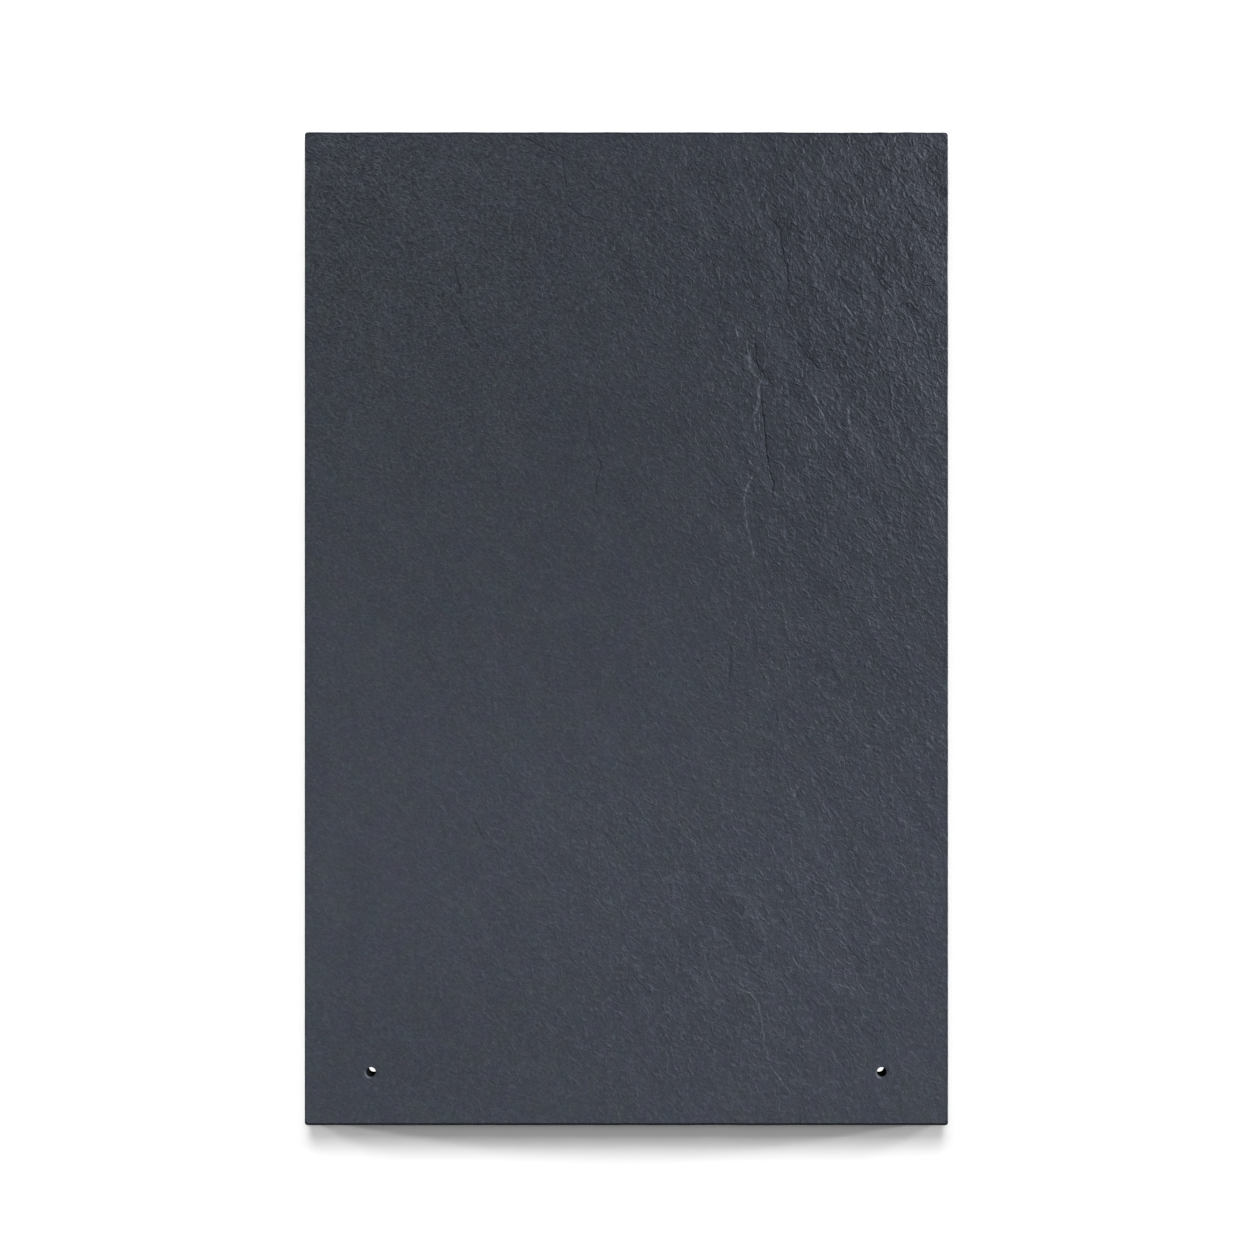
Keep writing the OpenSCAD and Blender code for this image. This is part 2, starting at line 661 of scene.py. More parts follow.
    def _tint(self, sketch: SurfaceSketch, riven: Socket) -> Socket:
        """Let the three colours drift apart from place to place, least where the face is rough.

        Args:
            sketch: The material's tree.
            riven: Socket with the face's roughness.

        Returns:
            Socket with a factor for each colour, about 1.
        """
        apart = sketch.vector("SUBTRACT", sketch.drawn(self.tint, "Color"), (NOISE_MIDDLE,) * 3)
        swing = sketch.scaled(apart, sketch.times(riven, -self.riven_tint * self.tint_swing, self.tint_swing))
        greener = sketch.scaled(self.green_cast, sketch.attribute(Layer.CAST))
        return sketch.vector("ADD", sketch.vector("ADD", swing, greener), (1.0, 1.0, 1.0))

    def _clouds(self, sketch: SurfaceSketch, painted_light_drift: Socket) -> Socket:
        """Let the tone swing in broad clouds, most at the far end.

        Args:
            sketch: The material's tree.
            painted_light_drift: Socket that goes from 0 at the far end to 1 at the near end.

        Returns:
            Socket with the swing.
        """
        cloud = sketch.math("SUBTRACT", sketch.drawn(self.clouds), NOISE_MIDDLE)
        fading = (self.near_cloud - 1.0) * self.cloud_share
        return sketch.times(cloud, sketch.times(painted_light_drift, fading, self.cloud_share))

    def _marks(self, sketch: SurfaceSketch) -> list[Socket]:
        """Draw the cracks and the lips as wavering lines of uneven strength.

        Args:
            sketch: The material's tree.

        Returns:
            Sockets with the cracks' and the lips' masks.
        """
        shift = sketch.times(sketch.drawn(self.wander), self.waver, -self.waver / 2)
        away = sketch.math("ABSOLUTE", sketch.math("ADD", sketch.attribute(Layer.SIDE), shift))
        uneven = sketch.drawn(self.gaps)
        masks = []
        for layer, half, gap, span in (
            (Layer.CRACK, self.crack_half, self.crack_gap, self.crack_gap_span),
            (Layer.LIP, self.lip_half, self.lip_gap, self.lip_gap_span),
        ):
            line = sketch.ramp(away, 0.0, half, 1.0, 0.0)
            line = sketch.times(line, sketch.ramp(uneven, *span, gap, 1.0))
            masks.append(sketch.times(line, sketch.attribute(layer)))
        return masks


@dataclass(frozen=True)
class PressedBack:
    """The plain back, grey fibre cement with the faint print of the press felt."""

    tone: Colour = (0.060, 0.064, 0.072)
    pale_tone: Colour = (0.095, 0.098, 0.104)
    roughness: float = 0.8
    blotches: Pattern = Pattern(40.0 * MM, seed=2.3, octaves=4.0, falloff=0.6)
    blotch_span: Span = (0.35, 0.7)
    felt: Pattern = Pattern(1.6 * MM, seed=4.1)
    felt_depth_mm: float = 0.10

    def material(self, grain: ShaderNodeTree) -> Material:
        """Build the back's material.

        Args:
            grain: The shared crinkle.

        Returns:
            The finished material.
        """
        sketch = SurfaceSketch("pressed_back")
        felt = sketch.grain(grain, self.felt)
        pale = sketch.ramp(sketch.drawn(self.blotches), *self.blotch_span)
        colour = sketch.mix(pale, opaque(self.tone), opaque(self.pale_tone))
        height = sketch.times(felt["Height"], self.felt_depth_mm)
        return sketch.finish(colour, height, {"Roughness": self.roughness})


@dataclass(frozen=True)
class ShadedBore:
    """The dull wall of a nail hole, where the punch tore through the sheet, painted near-black as shade."""

    # tone is painted shade: the bore's wall is coloured near-black
    tone: Colour = (0.008, 0.0085, 0.0095)
    torn_tone: Colour = (0.016, 0.017, 0.019)
    roughness: float = 1.0
    specular: float = 0.0
    tears: Pattern = Pattern(0.7 * MM, seed=5.9)
    tear_depth_mm: float = 0.15

    def material(self, grain: ShaderNodeTree) -> Material:
        """Build the bores' material.

        Args:
            grain: The shared crinkle.

        Returns:
            The finished material.
        """
        sketch = SurfaceSketch("painted_shade_bore")
        tears = sketch.grain(grain, self.tears)
        colour = sketch.mix(tears["Hair"], opaque(self.tone), opaque(self.torn_tone))
        height = sketch.times(tears["Height"], self.tear_depth_mm)
        plain = {"Roughness": self.roughness, "Specular IOR Level": self.specular}
        return sketch.finish(colour, height, plain)


@dataclass(frozen=True)
class RivenRelief:
    """The tree of nodes that presses the riven relief into the face and roughens the cut edges."""

    swell_depth: float = 1.45 * MM
    swell_cell: float = 11.0 * MM
    swell_lean_deg: float = 30.0
    swell_stretch: float = 2.2
    groove_depth: float = 0.15 * MM
    groove_half: float = 1.6 * MM
    edge_depth: float = 0.12 * MM
    edge_chips_per_m: float = 300.0
    seed: float = 12.0
    crown: float = 0.30

    def tree(self) -> GeometryNodeTree:
        """Build the tree, with an input for each size, the seed and the three materials.

        Returns:
            The new tree.
        """
        tree = bpy.data.node_groups.new("riven_relief", "GeometryNodeTree")
        sketch = NodeSketch(tree)
        inputs = {"Slate": "Geometry", **dict.fromkeys(self.sizes(), "Float")}
        inputs |= dict.fromkeys(("Coat", "Back", "Bore"), "Material")
        given = sketch.declare(inputs, {"Slate": "Geometry"})
        offset = sketch.vector("ADD", self._fall(sketch, given), self._wear(sketch, given))
        moved = sketch.add("GeometryNodeSetPosition", {"Geometry": given["Slate"], "Offset": offset})
        real = sketch.add("GeometryNodeRealizeInstances", {"Geometry": moved.outputs[0]})
        coat = {"Geometry": real.outputs[0], "Material": given["Coat"]}
        dressed = sketch.add("GeometryNodeSetMaterial", coat)
        for layer, name in ((Layer.BACK, "Back"), (Layer.BORE, "Bore")):
            part = sketch.mesh_layer(layer, "BOOLEAN")
            finish = {"Geometry": dressed.outputs[0], "Selection": part, "Material": given[name]}
            dressed = sketch.add("GeometryNodeSetMaterial", finish)
        sketch.add("NodeGroupOutput", {"Slate": dressed.outputs[0]})
        return tree

    def _fall(self, sketch: NodeSketch, given: Any) -> Socket:
        """Let the face fall below its highest crests, and deeper in the grooves.

        Args:
            sketch: The tree.
            given: The tree's inputs.

        Returns:
            Socket with the offset downwards.
        """
        place = sketch.add("GeometryNodeInputPosition").outputs[0]
        streaks = sketch.slant(place, self.swell_lean_deg, self.swell_stretch)
        scale = sketch.math("DIVIDE", 1.0, given["Swell Cell"])
        swell = sketch.noise(streaks, scale, given["Seed"], Detail=2.0, Roughness=0.6, Distortion=0.3)
        hollow = sketch.math("MAXIMUM", sketch.math("SUBTRACT", swell, self.crown), 0.0)
        depth = sketch.times(sketch.mesh_layer(Layer.RIVEN), given["Swell Depth"])
        away = sketch.math("ABSOLUTE", sketch.mesh_layer(Layer.SIDE))
        groove = sketch.ramp(away, 0.0, given["Groove Half"], given["Groove Depth"], 0.0)
        groove = sketch.times(groove, sketch.mesh_layer(Layer.CRACK))
        drop = sketch.times(hollow, depth, groove)
        drop = sketch.times(drop, sketch.mesh_layer(Layer.FACE))
        return sketch.add("ShaderNodeCombineXYZ", {"Z": sketch.times(drop, -1.0)}).outputs[0]

    def _wear(self, sketch: NodeSketch, given: Any) -> Socket:
        """Roughen the cut edges inwards.

        Args:
            sketch: The tree.
            given: The tree's inputs.

        Returns:
            Socket with the offset inwards.
        """
        place = sketch.add("GeometryNodeInputPosition").outputs[0]
        chips = sketch.noise(place, self.edge_chips_per_m, given["Seed"], Detail=3.0, Roughness=0.6)
        depth = sketch.times(chips, given["Edge Depth"])
        inward = sketch.times(depth, sketch.mesh_layer(Layer.EDGE))
        normal = sketch.add("GeometryNodeInputNormal").outputs[0]
        outline = sketch.vector("MULTIPLY", normal, (-1.0, -1.0, 0.0))
        return sketch.scaled(outline, inward)

    def sizes(self) -> dict[str, float]:
        """Name the tree's inputs and give their values, in metres but for the seed."""
        return {
            "Swell Depth": self.swell_depth,
            "Swell Cell": self.swell_cell,
            "Groove Depth": self.groove_depth,
            "Groove Half": self.groove_half,
            "Edge Depth": self.edge_depth,
            "Seed": self.seed,
        }

    def press(self, piece: Object, finishes: dict[str, Material]) -> None:
        """Run the tree on a piece and keep the result as its plain mesh.

        Args:
            piece: Object with the flat mesh and its layers.
            finishes: Materials for the coat, the back and the bores, by the tree's input names.
        """
        modifier = piece.modifiers.new("riven_relief", "NODES")
        modifier.node_group = self.tree()
        values: dict[str, Any] = {**self.sizes(), **finishes}
        for item in modifier.node_group.interface.items_tree:
            if item.in_out == "INPUT" and item.name in values:
                modifier[item.identifier] = values[item.name]
        depsgraph = bpy.context.evaluated_depsgraph_get()
        pressed = bpy.data.meshes.new_from_object(
            piece.evaluated_get(depsgraph), preserve_all_data_layers=True, depsgraph=depsgraph
        )
        piece.modifiers.clear()
        flat = piece.data
        piece.data = pressed
        bpy.data.meshes.remove(flat)
        pressed.name = piece.name


@dataclass
class Slate:
    """The whole slate: one sheet with a worn arris, rounded corners and two dished nail holes."""

    width: float
    length: float
    thickness: float
    holes: list[Point]
    hole_radius: float
    corner_radius: float = 1.5 * MM
    face_arris: float = 0.6 * MM
    dish_rim: float = 1.0 * MM
    dish_depth: float = 0.3 * MM
    dish_shares: tuple[float, ...] = (1.0, 0.5, 0.1, 0.0)
    cell: float = 1.28 * MM
    patch_cells: int = 3
    corner_steps: int = 4
    arris_steps: int = 3
    rim_shares: tuple[float, ...] = (0.35, 1.0)
    edge_rows: int = 3
    bore_rows: int = 3
    crease_deg: float = 40.0
    near_shade: float = 1.0
    far_shade: float = 0.4
    right_shade: float = 0.25
    left_shade: float = 0.1
    highlight_deg: float = 222.0
    highlight_rise: Span = (0.0, 0.3)
    highlight_fall: Span = (0.45, 1.05)
    highlight_facing: Span = (0.55, 0.98)
    mark_reach: float = 4.0 * MM
    mark_fade: float = 2.5 * MM
    photo: PhotoFrame = field(default_factory=PhotoFrame)
    xs: Array = field(init=False)
    ys: Array = field(init=False)
    grid: Array = field(init=False)
    vertices: list[Array] = field(default_factory=list)
    faces: list[tuple[int, ...]] = field(default_factory=list)
    bore_faces: list[int] = field(default_factory=list)

    @classmethod
    def from_frame(cls) -> "Slate":
        """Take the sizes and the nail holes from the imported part.

        Returns:
            The slate, not yet built.
        """
        low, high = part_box(NODE)
        bores = [m for m in frame["record"]["mounts"] if m["kind"] == "bore"]
        holes = [(m["pos_m"][0], m["pos_m"][1]) for m in bores]
        size = high - low
        return cls(size.x, size.y, size.z, holes, bores[0]["dims"]["r_mm"] * MM)

    def build(self) -> Object:
        """Make the flat sheet's mesh with the layers that the relief and the finish read.

        Returns:
            The new object, linked to the scene.
        """
        self.xs = self._lines(self.width, [hole[0] for hole in self.holes])
        self.ys = self._lines(self.length, [hole[1] for hole in self.holes])
        self.grid = self._face_grid()
        rims = self._hole_patches()
        last_ring = self._edge_band()
        mesh = bpy.data.meshes.new("slate_face")
        mesh.from_pydata(np.concatenate(self.vertices).tolist(), [], self.faces)
        mesh.update()
        self._close_back(mesh, [last_ring, *rims])
        self._write_layers(mesh)
        return placed("slate_sheet", mesh)

    def _add(self, points: Array) -> Array:
        """Add points to the mesh.

        Args:
            points: Their places, in any shape that ends in three.

        Returns:
            Their vertex numbers.
        """
        first = sum(len(block) for block in self.vertices)
        self.vertices.append(points.reshape(-1, 3))
        return np.arange(first, first + points.size // 3)

    def _lines(self, size: float, centres: list[float]) -> Array:
        """Space the grid lines of one axis in equal cells, with a line through the centre of each nail hole.

        Args:
            size: The sheet's size along the axis.
            centres: Places of the nail holes along it.

        Returns:
            The lines' places.
        """
        core = size / 2 - self.corner_radius
        stops = sorted({-core, core, *centres})
        lines = [np.array([stops[0]])]
        for start, end in zip(stops, stops[1:]):
            cells = max(1, round((end - start) / self.cell))
            lines.append(np.linspace(start, end, cells + 1)[1:])
        return np.concatenate(lines)

    def _face_grid(self) -> Array:
        """Lay the grid of the flat face, left open around the nail holes.

        Returns:
            Vertex numbers by column and row, with -1 where a patch is left open.
        """
        keep = np.ones((len(self.xs), len(self.ys)), bool)
        hollow = np.zeros_like(keep[1:, 1:])
        half = self.patch_cells
        for hole in self.holes:
            i, j = self._crossing(hole)
            keep[i - half + 1:i + half, j - half + 1:j + half] = False
            hollow[i - half:i + half, j - half:j + half] = True
        across, along = np.meshgrid(self.xs, self.ys, indexing="ij")
        points = np.stack([across, along, np.full_like(across, self.thickness)], -1)[keep]
        grid = np.full(keep.shape, -1)
        grid[keep] = self._add(points)
        corners = np.stack([grid[:-1, :-1], grid[1:, :-1], grid[1:, 1:], grid[:-1, 1:]], -1)[~hollow]
        self.faces.extend(map(tuple, corners.tolist()))
        return grid

    def _crossing(self, hole: Point) -> tuple[int, int]:
        """Find the grid crossing that a nail hole is centred on."""
        return int(np.abs(self.xs - hole[0]).argmin()), int(np.abs(self.ys - hole[1]).argmin())

    def _hole_patches(self) -> list[Array]:
        """Run rings from the open squares of the grid into the dishes and down the bores.

        Returns:
            The ring of vertex numbers at the back of each bore.
        """
        mouth = self.thickness - self.dish_depth
        dish = [(self.dish_rim * share, self.dish_depth * share) for share in self.dish_shares]
        dish = [(self.hole_radius + out, mouth + up) for out, up in dish]
        rows = range(1, self.bore_rows + 1)
        bore = [(self.hole_radius, mouth * (1 - row / self.bore_rows)) for row in rows]
        rims = []
        for hole in self.holes:
            rim = self._patch_rim(hole)
            flat = np.concatenate(self.vertices)[rim][:, :2] - hole
            turn = np.arctan2(flat[:, 1], flat[:, 0])
            outward = np.column_stack([np.cos(turn), np.sin(turn)])
            rim = self._sweep(rim, hole, outward, dish)
            first = len(self.faces)
            rims.append(self._sweep(rim, hole, outward, bore))
            self.bore_faces += range(first, len(self.faces))
        return rims

    def _sweep(self, ring: Array, base: Any, outward: Array, section: list[Point]) -> Array:
        """Carry a ring on through a section.

        Args:
            ring: Vertex numbers to start from.
            base: The plan's point that reach is counted from, one for all or one for each vertex.
            outward: The unit way out for each vertex.
            section: Reach and height of each ring.

        Returns:
            The last ring's vertex numbers.
        """
        for reach, height in section:
            places = base + outward * reach
            following = self._add(np.column_stack([places, np.full(len(places), height)]))
            self._bridge(ring, following)
            ring = following
        return ring

    def _patch_rim(self, hole: Point) -> Array:
        """Walk round the open square of the grid about a hole.

        Args:
            hole: The hole's centre.

        Returns:
            Vertex numbers, clockwise from above.
        """
        i, j = self._crossing(hole)
        half = self.patch_cells
        square = self.grid[i - half:i + half + 1, j - half:j + half + 1]
        walk = [square[0, :-1], square[:-1, -1], square[-1, :0:-1], square[:0:-1, 0]]
        return np.concatenate(walk)

    def _bridge(self, ring: Array, following: Array) -> None:
        """Join two closed rings with quads, or triangles where the first ring stays on one point.

        Args:
            ring: Vertex numbers of the first ring.
            following: Those of the next ring, one for each.
        """
        after = np.roll(ring, -1)
        following_after = np.roll(following, -1)
        for a, b, c, d in zip(ring, after, following_after, following):
            corners = (a, b, c, d) if a != b else (a, c, d)
            self.faces.append(tuple(int(corner) for corner in corners))

    def _edge_band(self) -> Array:
        """Carry the edge's section around the sheet: the flat rim, the arris and the cut edge.

        Returns:
            The ring of vertex numbers around the back.
        """
        flat_rim = self.corner_radius - self.face_arris
        shoulder = self.thickness - self.face_arris
        section = [(flat_rim * share, self.thickness) for share in self.rim_shares]
        for step in range(1, self.arris_steps + 1):
            turn = math.pi / 2 * step / self.arris_steps
            reach = flat_rim + self.face_arris * math.sin(turn)
            section.append((reach, shoulder + self.face_arris * math.cos(turn)))
        for row in range(1, self.edge_rows + 1):
            section.append((self.corner_radius, shoulder * (1 - row / self.edge_rows)))
        ring, outward, base = self._stations()
        return self._sweep(ring, base, outward, section)

    def _stations(self) -> tuple[Array, Array, Array]:
        """List the points around the face's core, clockwise from above, with the way out from each.

        Returns:
            Vertex numbers, unit ways out and places in the plan, one row for each station.
        """
        grid = self.grid
        sides = ((grid[0, :], 180.0), (grid[:, -1], 90.0), (grid[-1, ::-1], 0.0), (grid[::-1, 0], -90.0))
        numbers: list[int] = []
        turns: list[float] = []
        for line, facing in sides:
            numbers += line.tolist()
            turns += [facing] * len(line)
            for step in range(1, self.corner_steps):
                numbers.append(int(line[-1]))
                turns.append(facing - 90.0 * step / self.corner_steps)
        angle = np.radians(turns)
        places = np.concatenate(self.vertices)[numbers][:, :2]
        return np.array(numbers), np.column_stack([np.cos(angle), np.sin(angle)]), places

    def _close_back(self, mesh: Mesh, rings: list[Array]) -> None:
        """Fill the flat back between the edge band and the bores, and turn every face outwards.

        Args:
            mesh: The mesh with its open back.
            rings: Vertex numbers of the outer ring and of each bore's ring.
        """
        form = bmesh.new()
        form.from_mesh(mesh)
        form.verts.ensure_lookup_table()
        edges = []
        for ring in rings:
            for a, b in zip(ring, np.roll(ring, -1)):
                edges.append(form.edges.get((form.verts[int(a)], form.verts[int(b)])))
        bmesh.ops.triangle_fill(form, use_beauty=True, use_dissolve=False, edges=edges, normal=(0, 0, -1))
        bmesh.ops.recalc_face_normals(form, faces=form.faces)
        form.to_mesh(mesh)
        form.free()
        mesh.shade_smooth()
        mesh.set_sharp_from_angle(angle=math.radians(self.crease_deg))

    def _write_layers(self, mesh: Mesh) -> None:
        """Give the mesh the layers that the relief and the finish read.

        Args:
            mesh: The closed mesh of the flat sheet.
        """
        places = np.empty(len(mesh.vertices) * 3, np.float32)
        mesh.vertices.foreach_get("co", places)
        places = places.reshape(-1, 3).astype(float)
        plan = places[:, :2]
        beyond_x = np.abs(plan[:, 0]) - (self.width / 2 - self.corner_radius)
        beyond_y = np.abs(plan[:, 1]) - (self.length / 2 - self.corner_radius)
        reach = np.hypot(np.maximum(beyond_x, 0.0), np.maximum(beyond_y, 0.0))
        flat_rim = self.corner_radius - self.face_arris
        layers = {
            Layer.FACE: np.clip(places[:, 2] / (self.thickness - self.face_arris), 0.0, 1.0),
            # painted shade along the arris, graded by _edge_shade
            Layer.ARRIS_SHADE: smooth_step(reach, 0.0, flat_rim * self.rim_shares[0]) * self._edge_shade(plan),
            Layer.EDGE: smooth_step(reach, flat_rim, self.corner_radius) * (places[:, 2] > self.face_arris),
            # painted highlight on the dishes' lower left rims
            Layer.RIM_HIGHLIGHT: self._rim_highlight_layer(plan),
            **{layer: self._map_layer(plan, face_map) for layer, face_map in FACE_MAPS.items()},
            **self._mark_layers(plan),
        }
        for layer, values in layers.items():
            written = mesh.attributes.new(layer.value, "FLOAT", "POINT")
            written.data.foreach_set("value", values.astype(np.float32))
        is_back = np.arange(len(mesh.polygons)) >= len(self.faces)
        is_bore = np.isin(np.arange(len(mesh.polygons)), self.bore_faces)
        for layer, marked in ((Layer.BACK, is_back), (Layer.BORE, is_bore)):
            mesh.attributes.new(layer.value, "BOOLEAN", "FACE").data.foreach_set("value", marked)

    def _edge_shade(self, plan: Array) -> Array:
        """Grade the shade painted on the arris along the edges: most at the nailed end, least on the left.

        Args:
            plan: The points' X and Y.

        Returns:
            A share for each point, which only counts at the edges.
        """
        near_end = plan[:, 1] < self.corner_radius - self.length / 2
        far_end = plan[:, 1] > self.length / 2 - self.corner_radius
        right = plan[:, 0] > self.width / 2 - self.corner_radius
        shades = [self.near_shade, self.far_shade, self.right_shade]
        return np.select([near_end, far_end, right], shades, self.left_shade)

    def _rim_highlight_layer(self, plan: Array) -> Array:
        """Mark the dishes' lower left sides, which face the key lamp, for a painted highlight.

        Args:
            plan: The points' X and Y.

        Returns:
            A share for each point, 1 where the highlight is painted in full.
        """
        highlighted = np.zeros(len(plan))
        towards = np.array([math.cos(math.radians(self.highlight_deg)), math.sin(math.radians(self.highlight_deg))])
        for hole in self.holes:
            offset = plan - hole
            away = np.hypot(*offset.T)
            beyond = (away - self.hole_radius) / self.dish_rim
            ring = smooth_step(beyond, *self.highlight_rise) * (1.0 - smooth_step(beyond, *self.highlight_fall))
            facing = smooth_step(offset @ towards / np.maximum(away, self.dish_depth), *self.highlight_facing)
            highlighted = np.maximum(highlighted, ring * facing)
        return highlighted

    def _map_layer(self, plan: Array, face_map: FaceMap) -> Array:
        """Sum a map's patches over the quiet level of the face.

        Args:
            plan: The points' X and Y.
            face_map: The map.

        Returns:
            The map's level at each point.
        """
        total = np.full(len(plan), face_map.quiet)
        for patch in face_map.patches:
            away = np.hypot(*(plan - self.photo.to_face(patch.centre)).T)
            spread = patch.reach * self.photo.mm_per_px * MM
            total += patch.strength * np.exp(-((away / spread) ** 2))
        return total

    def _mark_layers(self, plan: Array) -> dict[Layer, Array]:
        """Measure how far each point lies to the side of the nearest crack or lip.

        Args:
            plan: The points' X and Y.

        Returns:
            The signed distance in metres, and how strongly a crack and a lip show there.
        """
        nearest = np.full(len(plan), self.mark_reach)
        side = nearest.copy()
        shows = {kind: np.zeros(len(plan)) for kind in FACE_MARKS}
        for kind, marks in FACE_MARKS.items():
            for away, across, strength in (span for mark in marks for span in self._beside(plan, mark)):
                closer = away < nearest
                nearest[closer] = away[closer]
                side[closer] = across[closer]
                for other, show in shows.items():
                    show[closer] = strength[closer] if other is kind else 0.0
        return {Layer.SIDE: side, **shows}

    def _beside(self, plan: Array, mark: FaceMark) -> Iterator[tuple[Array, Array, Array]]:
        """Measure how points lie beside each span of a mark's route.

        Args:
            plan: The points' X and Y.
            mark: The crack or the lip.

        Yields:
            The distance, the signed distance to the side for the mark's width, and the mark's strength there.
        """
        fade = self.mark_fade
        route = np.array([self.photo.to_face(pixel) for pixel in mark.route])
        spans = np.hypot(*np.diff(route, axis=0).T)
        whole = spans.sum()
        walked = 0.0
        for start, end, span in zip(route, route[1:], spans):
            way = (end - start) / span
            offset = plan - start
            along = offset @ way
            across = offset[:, 0] * way[1] - offset[:, 1] * way[0]
            away = np.hypot(along - np.clip(along, 0.0, span), across)
            run = walked + along
            taper = smooth_step(run, -fade, fade) * smooth_step(whole - run, -fade, fade)
            yield away, across / mark.width, mark.strength * taper
            walked += span


def seen_rays(sketch: NodeSketch) -> Socket:
    """Tell the rays that show the white room, at once or in gloss or glass, from those that light things.

    Args:
        sketch: The tree of a material or of the surroundings.

    Returns:
        Socket with 1 for a ray that shows the room, and 0 for one that lights.
    """
    path = sketch.add("ShaderNodeLightPath").outputs
    mirrored = sketch.math("MAXIMUM", path["Is Glossy Ray"], path["Is Transmission Ray"])
    return sketch.math("MAXIMUM", path["Is Camera Ray"], mirrored)


@dataclass(frozen=True)
class Floor:
    """The white floor, which keeps the slate's shadow and, under the slate, glows white as painted light that
    shows through the nail holes.
    """

    reach: float = 6.0
    drop: float = 0.05 * MM
    bounce_tone: float = 0.8
    seen_tone: float = 1.2
    hole_margin: float = 10.0 * MM

    def build(self, slate: Slate) -> Object:
        """Lay the floor under the slate.

        Args:
            slate: The slate that lies on it.

        Returns:
            The floor's object.
        """
        half = self.reach / 2
        plan = [(-half, -half), (half, -half), (half, half), (-half, half)]
        mesh = bpy.data.meshes.new("floor")
        mesh.from_pydata([(x, y, -self.drop) for x, y in plan], [], [(0, 1, 2, 3)])
        mesh.materials.append(self._material(slate))
        floor = placed("floor", mesh)
        floor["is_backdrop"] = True
        return floor

    def _material(self, slate: Slate) -> Material:
        """Build the floor's material: white to the camera, with a painted glow under the slate that shows
        bright through its nail holes.

        Args:
            slate: The slate that lies on it.

        Returns:
            The finished material.
        """
        made = bpy.data.materials.new("white_floor")
        made.use_nodes = True
        made.node_tree.nodes.clear()
        sketch = NodeSketch(made.node_tree)
        seen = seen_rays(sketch)
        tone = sketch.mix(seen, grey(self.bounce_tone), grey(self.seen_tone))
        diffuse = sketch.add("ShaderNodeBsdfDiffuse", {"Color": tone})
        # painted light: under the slate the floor glows white to the camera instead of lying in the slate's
        # shadow
        painted_glow = sketch.add("ShaderNodeEmission", {"Color": grey(1.0), "Strength": 1.0})
        position = sketch.add("ShaderNodeNewGeometry").outputs["Position"]
        place = sketch.add("ShaderNodeSeparateXYZ", {0: position}).outputs
        painted_glow_share = seen
        for axis, size in (("X", slate.width), ("Y", slate.length)):
            away = sketch.math("ABSOLUTE", place[axis])
            painted_glow_share = sketch.times(painted_glow_share, sketch.math("LESS_THAN", away, size / 2 - self.hole_margin))
        mixed = sketch.add("ShaderNodeMixShader", {0: painted_glow_share, 1: diffuse.outputs[0], 2: painted_glow.outputs[0]})
        sketch.add("ShaderNodeOutputMaterial", {"Surface": mixed.outputs[0]})
        return made


@dataclass(frozen=True)
class SoftSun:
    """A broad soft lamp, far away, whose share says how much of the plain light on a flat face it gives."""

    name: str
    lights: LitBy
    from_deg: float
    height_deg: float
    softness_deg: float
    share: float

    def build(self, targets: dict[LitBy, Object]) -> None:
        """Add the lamp to the scene.

        Args:
            targets: The object for each thing that a lamp may be kept to.
        """
        data = bpy.data.lights.new(self.name, "SUN")
        data.energy = self.share * math.pi / math.sin(math.radians(self.height_deg))
        data.angle = math.radians(self.softness_deg)
        lamp = placed(self.name, data)
        lamp.rotation_euler = (math.radians(90.0 - self.height_deg), 0.0, math.radians(180.0 - self.from_deg))
        lit = bpy.data.collections.new(f"lit_by_{self.name}")
        lit.objects.link(targets[self.lights])
        lamp.light_linking.receiver_collection = lit


LAMPS: tuple[SoftSun, ...] = (
    SoftSun("key_lamp", LitBy.SLATE, from_deg=60.0, height_deg=33.0, softness_deg=25.0, share=0.78),
    SoftSun("fill_lamp", LitBy.SLATE, from_deg=-50.0, height_deg=50.0, softness_deg=60.0, share=0.17),
    SoftSun("floor_lamp", LitBy.FLOOR, from_deg=0.0, height_deg=16.2, softness_deg=34.0, share=0.402),
    SoftSun("high_lamp", LitBy.FLOOR, from_deg=0.0, height_deg=58.8, softness_deg=51.0, share=0.198),
    SoftSun("side_lamp_a", LitBy.FLOOR, from_deg=-62.0, height_deg=5.5, softness_deg=10.5, share=0.104),
    SoftSun("side_lamp_b", LitBy.FLOOR, from_deg=62.0, height_deg=5.5, softness_deg=10.5, share=0.104),
    SoftSun("low_lamp_a", LitBy.FLOOR, from_deg=-80.5, height_deg=1.9, softness_deg=3.6, share=0.093),
    SoftSun("low_lamp_b", LitBy.FLOOR, from_deg=80.5, height_deg=1.9, softness_deg=3.6, share=0.093),
)


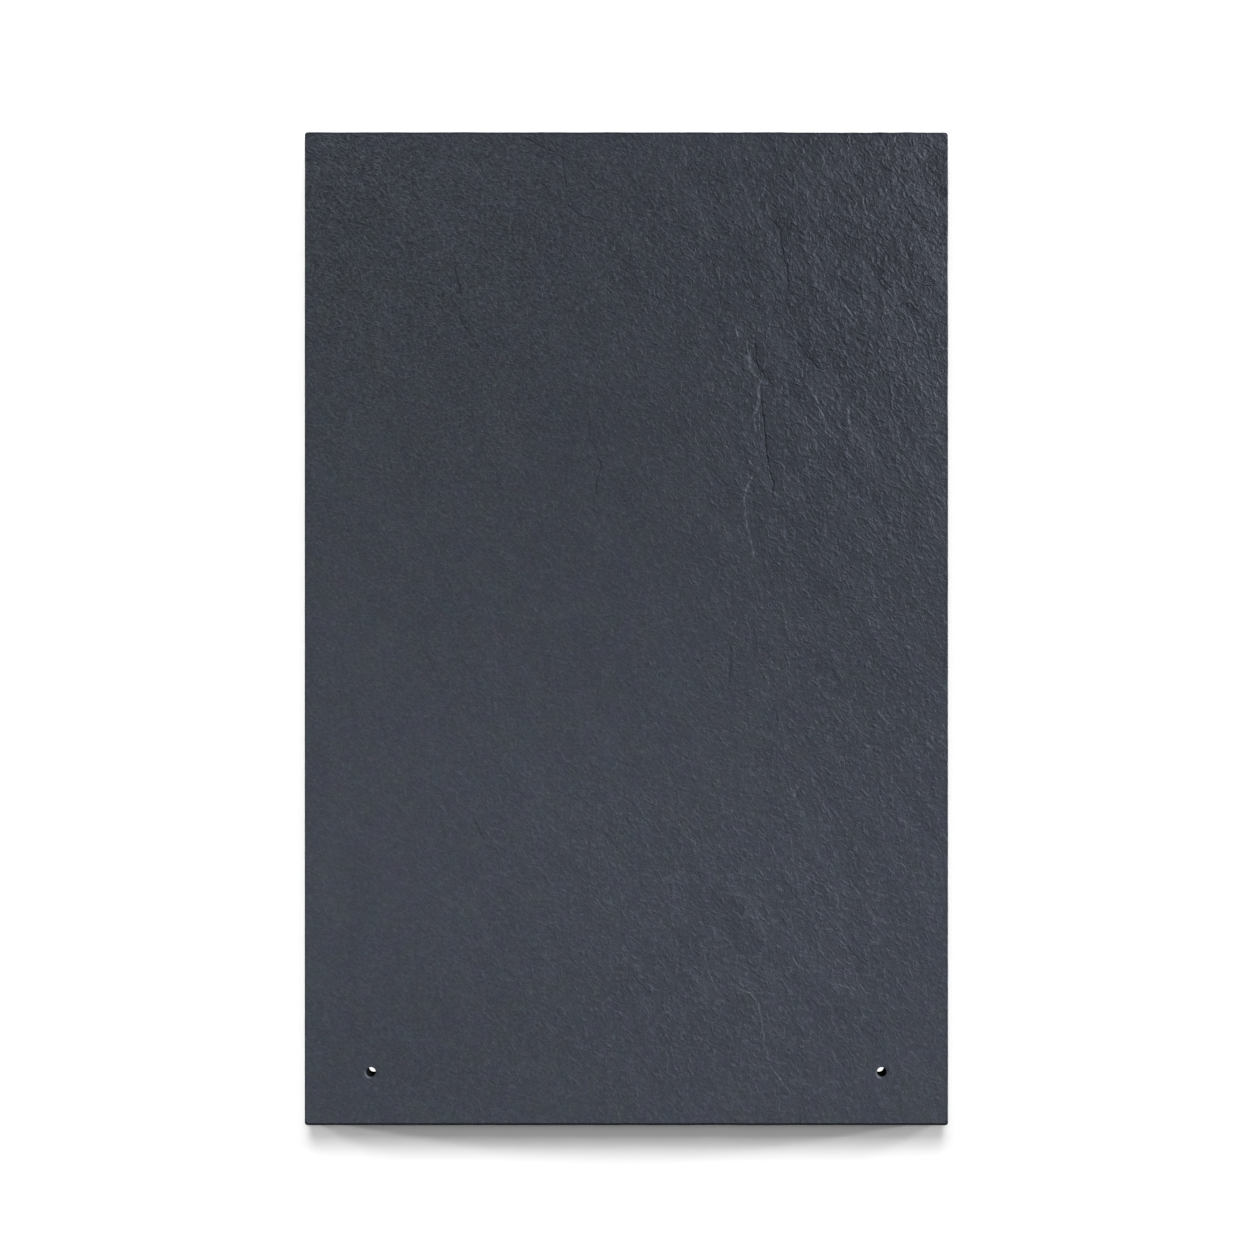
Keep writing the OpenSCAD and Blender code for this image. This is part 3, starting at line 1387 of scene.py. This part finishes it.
@dataclass(frozen=True)
class Studio:
    """The lamps, the pale surroundings and the camera."""

    photo: PhotoFrame = field(default_factory=PhotoFrame)
    camera_height: float = 0.4
    sensor_width: float = 36.0
    ambient: float = 0.05

    def light(self, piece: Object, floor: Object) -> None:
        """Set the lamps and the surroundings.

        Args:
            piece: The slate's piece.
            floor: The floor.
        """
        for lamp in LAMPS:
            lamp.build({LitBy.SLATE: piece, LitBy.FLOOR: floor})
        world = bpy.data.worlds.new("surroundings")
        world.use_nodes = True
        world.node_tree.nodes.clear()
        sketch = NodeSketch(world.node_tree)
        strength = sketch.times(seen_rays(sketch), 1.0 - self.ambient, self.ambient)
        lit = sketch.add("ShaderNodeBackground", {"Color": grey(1.0), "Strength": strength})
        sketch.add("ShaderNodeOutputWorld", {"Surface": lit.outputs[0]})
        bpy.context.scene.world = world

    def look(self, slate: Slate) -> None:
        """Hang the camera straight above the slate, framed as the photograph is.

        Args:
            slate: The slate that it looks down on.
        """
        data = bpy.data.cameras.new("camera")
        seen = self.photo.width_px * self.photo.mm_per_px * MM
        data.sensor_width = self.sensor_width
        data.lens = self.sensor_width * self.camera_height / seen
        camera = placed("camera", data)
        middle = self.photo.to_face((self.photo.width_px / 2, self.photo.width_px / 2))
        camera.location = (*middle, slate.thickness + self.camera_height)
        bpy.context.scene.camera = camera
        bpy.context.scene.view_settings.view_transform = "Standard"


def write_sizes() -> None:
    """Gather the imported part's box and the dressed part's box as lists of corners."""
    boxes = {"cad": CAD_BOX, "visual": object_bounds()}
    {name: [list(corner) for corner in box] for name, box in boxes.items()}


def main() -> None:
    """Build the slate, its floor, its light and its camera, and report the piece."""
    logging.basicConfig(level=logging.INFO, format="%(name)s: %(message)s")
    slate = Slate.from_frame()
    piece = slate.build()
    grain = CrinkleGrain().group()
    finishes = {
        "Coat": CoatedFace().material(grain, slate.length),
        "Back": PressedBack().material(grain),
        "Bore": ShadedBore().material(grain),
    }
    RivenRelief().press(piece, finishes)
    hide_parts(NODE)
    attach(piece, BODY)
    LOG.info("%s: %d faces on body %s", piece.name, len(piece.data.polygons), BODY)
    floor = Floor().build(slate)
    studio = Studio()
    studio.light(piece, floor)
    studio.look(slate)
    write_sizes()


if __name__ == "__main__":
    main()
